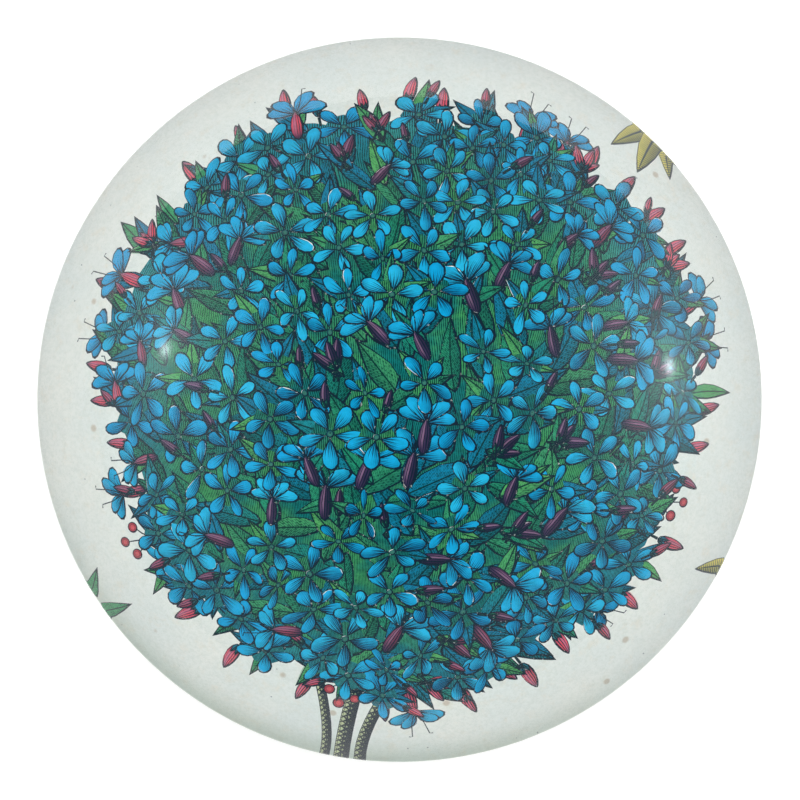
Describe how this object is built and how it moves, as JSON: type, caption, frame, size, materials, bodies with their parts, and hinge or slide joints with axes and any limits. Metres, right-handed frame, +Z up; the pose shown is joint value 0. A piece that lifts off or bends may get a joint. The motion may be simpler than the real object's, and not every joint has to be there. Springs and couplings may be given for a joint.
{
  "type": "glass dome paperweight",
  "caption": "Solid clear glass dome on a flat base, with a printed paper disc glued under the glass and a soft backing pad, to stand on papers and keep them in place.",
  "frame": {"origin": "centre of the backing pad's underside, where it meets the table", "axes": "+Z up through the top of the dome, +Y towards the top of the picture, +X to the picture's right"},
  "size_m": [0.089, 0.089, 0.0304],
  "materials": {
    "clear_glass": "polished, faintly green in the depth",
    "clear_film": "clear dried adhesive",
    "printed_paper": "matt aged paper with a printed and hand-coloured picture",
    "pad_felt": "short-napped felt"
  },
  "bodies": {
    "root": {"glass_dome": "clear_glass", "adhesive_film": "clear_film", "print_sheet": "printed_paper", "backing_pad": "pad_felt"}
  },
  "joints": []
}
